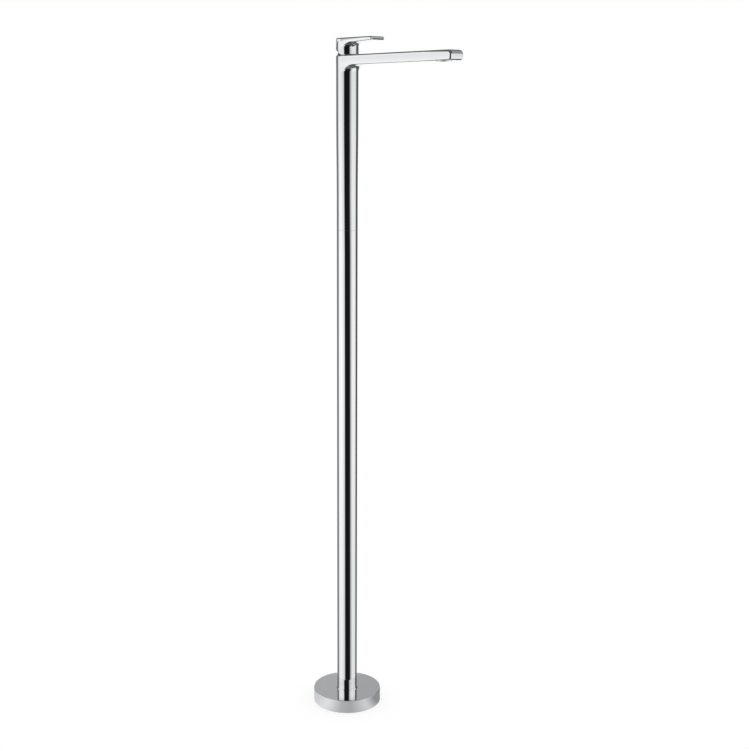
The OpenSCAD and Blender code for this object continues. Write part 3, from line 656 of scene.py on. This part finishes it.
def lever():
    outline = rounded([(HEAD_R + BLADE_ROOT_R, LEVER_H - BLADE_ROOT_T, 0),
                       (LEVER_REACH, LEVER_H - BLADE_TIP_T, BLADE_TIP_R),
                       (LEVER_REACH, LEVER_H, BLADE_TIP_R), (0, LEVER_H, 0)],
                      closed=False, steps=5)[1:-1]
    shape = arm_on_column([(HEAD_R, LEVER_FOOT)], LEVER_H - BLADE_ROOT_T, BLADE_ROOT_R, LEVER_H,
                          outline, LEVER_EDGE_R, LEVER_EDGE_R)
    slope = Vector((math.sin(BEVEL_ANGLE), 0, math.cos(BEVEL_ANGLE)))
    for place, normal in (((0, 0, LEVER_GAP), (0, 0, -1)), ((BEVEL_X, 0, LEVER_GAP), -slope)):
        bmesh.ops.bisect_plane(shape, geom=everything(shape), plane_co=place, plane_no=normal,
                               clear_outer=True)
    close_skirt(shape)
    soft = [edge for edge in shape.edges if edge.calc_face_angle(0) > SKIRT_EDGE_ANGLE
            and max(v.co.z for v in edge.verts) < SKIRT_EDGE_TOP]
    bmesh.ops.bevel(shape, geom=soft, offset=SKIRT_EDGE_R, segments=3, profile=0.5,
                    affect="EDGES", clamp_overlap=False, material=-1, loop_slide=True)
    risen(tidy(shape), 0)
    half_w, half_t, depth = SPINDLE_SOCKET
    cutters = [
        drum(SKIRT_R, LEVER_HOLLOW_LOW, LEVER_HOLLOW_H, steps=ROUND_STEPS),
        block((-half_w, -half_t, LEVER_HOLLOW_H - PAST), (half_w, half_t, LEVER_HOLLOW_H + depth)),
        drum(LEVER_SCREW_R, GRUB_OUTER_X, LEVER_SCREW_END_X, axis="X",
             place=(0, 0, LEVER_HOLLOW_H + depth / 2), steps=HOLE_STEPS),
    ]
    shape = carved(shape, [at_top(cutter) for cutter in cutters])
    finished(shape, "lever_and_blade", "lever_handle", body="lever")


# Round pieces


def base_shell():
    inner_r, inner_h = COVER_R - COVER_WALL, COVER_H - COVER_WALL
    shape = turned([(HOLE_R, inner_h, 0), (inner_r, inner_h, 0), (inner_r, 0, 0),
                    (COVER_R, 0, FINE_EDGE_R), (COVER_R, COVER_H, COVER_EDGE_R),
                    (HOLE_R, COVER_H, FINE_EDGE_R)])
    finished(shape, "base_shell", "base_cover")


def foot_bead():
    outer_r, top = HOLE_R + BEAD_W, COVER_H + BEAD_H
    shape = turned([(HOLE_R, COVER_H, 0), (outer_r, COVER_H, 0), (outer_r, top, BEAD_EDGE_R),
                    (HOLE_R, top, 0)])
    finished(shape, "foot_bead", "cover_bead")


def foot_collar():
    foot_z, spigot_z = FLANGE_T + SOCKET_FOOT_T, SOCKET_TOP_Z + SOCKET_SPIGOT
    shape = turned([(SOCKET_BORE_R, FLANGE_T, 0), (SOCKET_FOOT_R, FLANGE_T, 0),
                    (SOCKET_FOOT_R, foot_z, EDGE_R), (COLUMN_R, foot_z, 0),
                    (COLUMN_R, SOCKET_TOP_Z, SEAM_R), (SLEEVE_R, SOCKET_TOP_Z, 0),
                    (SLEEVE_R, spigot_z, 0), (SOCKET_BORE_R, spigot_z, 0)])
    finished(shape, "foot_collar", "foot_socket")


def column():
    holes = [SOCKET_TOP_Z + GRUB_ABOVE, JOINT_Z - GRUB_BELOW]
    shape = turned([(COLUMN_BORE_R, SOCKET_TOP_Z, 0), (COLUMN_R, SOCKET_TOP_Z, SEAM_R),
                    (COLUMN_R, JOINT_Z, JOINT_R), (COLUMN_BORE_R, JOINT_Z, 0)],
                   levels=[z + side * GRUB_RING for z in holes for side in (-1, 1)])
    finished(carved(shape, [grub_hole(z) for z in holes]), "column", "column_tube")


def dome():
    """The ring round the neck, cut below to the slope of the body's top."""
    shape = turned([(DOME_BORE_R, DOME_FOOT_Z, 0), (DOME_FOOT_R, DOME_FOOT_Z, 0),
                    (DOME_FOOT_R, 0, EDGE_R),
                    (DOME_SHOULDER_R, DOME_H - DOME_SIDE_DROP, DOME_SIDE_ROUND),
                    (DOME_SHOULDER_R - DOME_TOP_W, DOME_H - DOME_TOP_DROP, DOME_TOP_ROUND),
                    (DOME_HOLE_R, DOME_H, FINE_EDGE_R), (DOME_HOLE_R, DOME_H - DOME_LIP_T, 0),
                    (DOME_SHOULDER_R - DOME_INNER_TOP_W, DOME_H - DOME_INNER_TOP_DROP, 0),
                    (DOME_BORE_R, DOME_H - DOME_INNER_SIDE_DROP, 0)])
    bmesh.ops.bisect_plane(shape, geom=everything(shape), plane_co=(0, 0, DOME_LIFT),
                           plane_no=(RISE, 0, -1), clear_outer=True)
    bmesh.ops.bridge_loops(shape, edges=[edge for edge in shape.edges if edge.is_boundary])
    finished(tidy(at_top(shape)), "dome_cap", "dome_ring")


def aerator():
    rim_low, rim_top = -SPOUT_T - AERATOR_PROUD, SPOUT_WALL - FIT - SPOUT_T
    lip_low = AERATOR_TOP - AERATOR_LIP_T
    shape = turned([(AERATOR_BORE_R, rim_low, EDGE_R),
                    (AERATOR_RIM_R, rim_low, AERATOR_RIM_EDGE_R), (AERATOR_RIM_R, rim_top, 0),
                    (AERATOR_THREAD_R, rim_top, 0), (AERATOR_THREAD_R, AERATOR_TOP, 0),
                    (AERATOR_LIP_R, AERATOR_TOP, 0), (AERATOR_LIP_R, lip_low, 0),
                    (AERATOR_BORE_R, lip_low, 0)])
    bmesh.ops.translate(shape, verts=shape.verts, vec=(OUTLET_X, 0, 0))
    finished(at_spout(shape), "aerator_ring", "aerator_housing")


base_shell()
foot_bead()
foot_collar()
column()
mixer_body()
lever()
dome()
aerator()

# Every node has its finish, also where a piece above takes its place
slots = {entry["node"]: entry["material_slot"] for entry in frame["record"]["subparts"]}
for node_name, node in frame["nodes"].items():
    node.data.materials.clear()
    node.data.materials.append(FINISHES[slots[node_name]])


# Floor, studio and camera, in metres

AZIMUTH = math.radians(36.8)
PITCH = math.radians(12.15)
ROLL = math.radians(-0.055)
ACROSS = Vector((math.cos(AZIMUTH), math.sin(AZIMUTH), 0))
TOWARD = Vector((math.sin(AZIMUTH), -math.cos(AZIMUTH), 0))
CAMERA_DISTANCE = 2.142
CAMERA_H = 1.0485
CAMERA_SIDE = -0.0145
LENS = 62.3
SENSOR_W = 36
SHIFT_X = 0.0478
CLIP = (0.1, 50)

TENT_R = 2.5
TENT_H = 5.2
TENT_MIDDLE_Z = 0.4
TENT_SIDES = 180
TENT_TURN = 5
LEAN_DEGREES = 20
FLAG_OUT = 0.35
FLOOR_SIZE = 12
# Radius of the floor's patch of painted shade round the base
PAINTED_SHADE_R = 0.1065
PAPER = 0.22
PAPER_GLOW = 0.79
DARK = 0.15

ALL_ROUND = (-180, 180)
TENT_HEIGHTS = (-1.4, 1.4)
UPPER_HEIGHTS = (0, 3)
LOWER_HEIGHTS = (-2.3, 3)


def grey(value):
    return (value, value, value, 1)


def ramp(tree, stops, span, place):
    """A grey value that follows listed stops, as (place, value), over a span of places."""
    low, high = span
    share = add(tree, "MapRange", Value=place, From_Min=low, From_Max=high)
    node = tree.nodes.new("ShaderNodeValToRGB")
    tree.links.new(share.outputs[0], node.inputs[0])
    line = node.color_ramp
    while len(line.elements) < len(stops):
        line.elements.new(0.5)
    for element, (stop, value) in zip(line.elements, stops):
        element.position = (stop - low) / (high - low)
        element.color = grey(value)
    return node.outputs[0]


def stage_card(shape, name, build):
    """A card of the studio that only reflections show."""
    card = as_object(shape, name)
    made = bpy.data.materials.new(name)
    made.use_nodes = True
    tree = made.node_tree
    tree.nodes.clear()
    glow = add(tree, "Emission", Strength=1.0)
    build(tree, glow)
    add(tree, "OutputMaterial", Surface=glow.outputs[0])
    card.data.materials.append(made)
    card.visible_camera = card.visible_diffuse = card.visible_shadow = False


def bearing(tree):
    """The degrees round the column from the camera's side, the height and the place."""
    place = add(tree, "TexCoord")
    faced = add(tree, "Mapping", Vector=place.outputs["Object"],
                Rotation=(0, 0, math.pi / 2 - AZIMUTH))
    parts = add(tree, "SeparateXYZ", Vector=faced.outputs[0])
    angle = maths(tree, "ARCTAN2", parts.outputs["Y"], parts.outputs["X"])
    turn = maths(tree, "MULTIPLY", angle, 180 / math.pi)
    return turn, parts.outputs["Z"], place.outputs["Object"]


def light_tent():
    """The curtain round the set: white panels, a dark card behind the camera, a backdrop.

    Its light is set by bearing in three layers, low, middle and high, with (degrees, value)
    stops, and then by height, with (height, value) stops.
    """
    shape = bmesh.new()
    bmesh.ops.create_cone(shape, cap_ends=False, segments=TENT_SIDES, radius1=TENT_R,
                          radius2=TENT_R, depth=TENT_H)
    bmesh.ops.translate(shape, verts=shape.verts, vec=(0, 0, TENT_MIDDLE_Z))
    card = [(-24.5, 0.01), (28.5, 0.01)]
    low = ([(-180, 1.0), (-115, 1.0), (-100, 1.02), (-88, 1.06), (-74, 1.14), (-60, 1.1),
            (-48, 0.99), (-34, 0.8), (-28, 0.66)] + card
           + [(37, 0.4), (45, 0.7), (54, 0.9), (66, 1.05), (80, 1.0), (100, 0.95), (120, 0.97),
              (135, 1.0), (180, 1.0)])
    middle = ([(-180, 0.44), (-125, 0.44), (-110, 1.0), (-80, 1.1), (-45, 1.1), (-27, 0.9)]
              + card + [(34, 0.5), (46, 0.9), (70, 1.1), (95, 0.98), (122, 0.93),
                        (140, 0.405), (180, 0.405)])
    high = [(-180, DARK), (90, DARK), (105, 0.7), (130, 0.6), (150, DARK), (180, DARK)]
    low_to_middle = [(1.135, 0), (1.158, 1)]
    middle_to_high = [(1.32, 0), (1.42, 1)]
    lean = [(-1.04, 0.1), (0.03, 0.25), (0.5, 0.35), (0.7, 0.55), (0.94, 0.66), (1.1, 0.68)]
    level = [(-1.04, 0.87), (0.03, 1.0), (0.55, 0.96), (0.94, 0.9), (1.05, 0.86), (1.145, 0.84),
             (1.162, 0.92), (1.175, 0.86), (1.192, 0.8), (1.202, 0.87), (1.212, 0.92),
             (1.264, 0.92), (1.284, 0.5)]
    front = [(-150, 0), (-130, 1), (130, 1), (150, 0)]
    above_dark = [(-2.2, 0), (-1.25, 1)]

    def build(tree, glow):
        turn, height, _ = bearing(tree)
        leaning = maths(tree, "MULTIPLY_ADD", ramp(tree, lean, TENT_HEIGHTS, height),
                        LEAN_DEGREES, turn)
        turn = maths(tree, "SUBTRACT", leaning, TENT_TURN)
        lower = mixed(tree, ramp(tree, low_to_middle, UPPER_HEIGHTS, height),
                      ramp(tree, low, ALL_ROUND, turn), ramp(tree, middle, ALL_ROUND, turn))
        upper = mixed(tree, ramp(tree, middle_to_high, UPPER_HEIGHTS, height),
                      lower, ramp(tree, high, ALL_ROUND, turn))
        shaded = mixed(tree, ramp(tree, front, ALL_ROUND, turn), upper,
                       ramp(tree, level, TENT_HEIGHTS, height), blend_type="MULTIPLY")
        faded = mixed(tree, ramp(tree, above_dark, LOWER_HEIGHTS, height), grey(DARK), shaded)
        tree.links.new(faded, glow.inputs["Color"])

    stage_card(shape, "light_tent", build)


def side_flag(name, side, value, corners):
    """A dark flag beside the mixer that draws the column's edge, by its corners (along, up)."""
    shape = bmesh.new()
    add_face(shape, [ACROSS * FLAG_OUT * side + TOWARD * along + Vector((0, 0, up))
                     for along, up in corners])

    def build(tree, glow):
        glow.inputs["Color"].default_value = grey(value)

    stage_card(shape, name, build)


def studio_floor():
    """White paper that keeps a soft shadow; its patch by the base glows with painted shade,
    darkest towards the camera and behind, and only reflections show it.
    """
    shape = bmesh.new()
    bmesh.ops.create_grid(shape, x_segments=1, y_segments=1, size=FLOOR_SIZE)
    floor = as_object(shape, "studio_floor")
    made = bpy.data.materials.new("white_paper_and_painted_shade")
    made.use_nodes = True
    tree = made.node_tree
    tree.nodes.clear()
    # Painted shade on the floor round the base, as a glow by bearing: darkest towards the camera
    # and behind, lighter to the sides, seen only by glossy rays
    painted_shade_stops = [(-180, 0.3), (-110, 0.62), (-72, 0.73), (-51, 0.84), (-40, 0.8), (-32, 0.71),
             (-22, 0.6), (-14, 0.49), (0, 0.45), (8, 0.435), (20, 0.53), (36, 0.66),
             (44, 0.7), (53, 0.59), (63, 0.445), (73, 0.31), (110, 0.3), (180, 0.3)]
    rays = add(tree, "LightPath")
    paper = add(tree, "BsdfDiffuse", Color=grey(PAPER))
    seen = maths(tree, "MULTIPLY", rays.outputs["Is Camera Ray"], PAPER_GLOW)
    fill = add(tree, "Emission", Color=grey(1), Strength=seen)
    lit = add(tree, "AddShader", _0=paper.outputs[0], _1=fill.outputs[0])
    turn, _, place = bearing(tree)
    painted_shade_glow = add(tree, "Emission", Color=ramp(tree, painted_shade_stops, ALL_ROUND, turn))
    away = add(tree, "VectorMath", operation="LENGTH", _0=place)
    far = maths(tree, "GREATER_THAN", away.outputs["Value"], PAINTED_SHADE_R)
    nothing = add(tree, "BsdfTransparent")
    shown = add(tree, "MixShader", Fac=far, _1=painted_shade_glow.outputs[0], _2=nothing.outputs[0])
    either = add(tree, "MixShader", Fac=rays.outputs["Is Glossy Ray"], _1=lit.outputs[0],
                 _2=shown.outputs[0])
    add(tree, "OutputMaterial", Surface=either.outputs[0])
    floor.data.materials.append(made)


def studio_world():
    """White for the camera and for soft light; reflections see the dark above the tent."""
    world = bpy.data.worlds.new("studio")
    bpy.context.scene.world = world
    world.use_nodes = True
    tree = world.node_tree
    tree.nodes.clear()
    rays = add(tree, "LightPath")
    shine = mixed(tree, rays.outputs["Is Glossy Ray"], grey(1), grey(DARK))
    back = add(tree, "Background", Color=shine, Strength=1.0)
    add(tree, "OutputWorld", Surface=back.outputs[0])


def photo_camera():
    data = bpy.data.cameras.new("photo_camera")
    data.lens = LENS
    data.sensor_width = SENSOR_W
    data.shift_x = SHIFT_X
    data.clip_start, data.clip_end = CLIP
    camera = bpy.data.objects.new("photo_camera", data)
    camera.location = (ACROSS * CAMERA_SIDE + TOWARD * CAMERA_DISTANCE
                       + Vector((0, 0, CAMERA_H)))
    camera.rotation_euler = (Matrix.Rotation(AZIMUTH, 3, "Z")
                             @ Matrix.Rotation(math.pi / 2 - PITCH, 3, "X")
                             @ Matrix.Rotation(ROLL, 3, "Z")).to_euler()
    bpy.context.scene.collection.objects.link(camera)
    bpy.context.scene.camera = camera


light_tent()
side_flag("left_flag", side=-1, value=0.21,
          corners=((-0.095, -0.5), (-0.62, -0.5), (-1.0, 1.15), (-0.095, 1.15)))
side_flag("right_flag", side=1, value=0.1,
          corners=((-0.14, -0.5), (-0.62, -0.5), (-0.62, 1.15), (-0.05, 1.15)))
studio_floor()
studio_world()
photo_camera()
bpy.context.scene.view_settings.view_transform = "Standard"
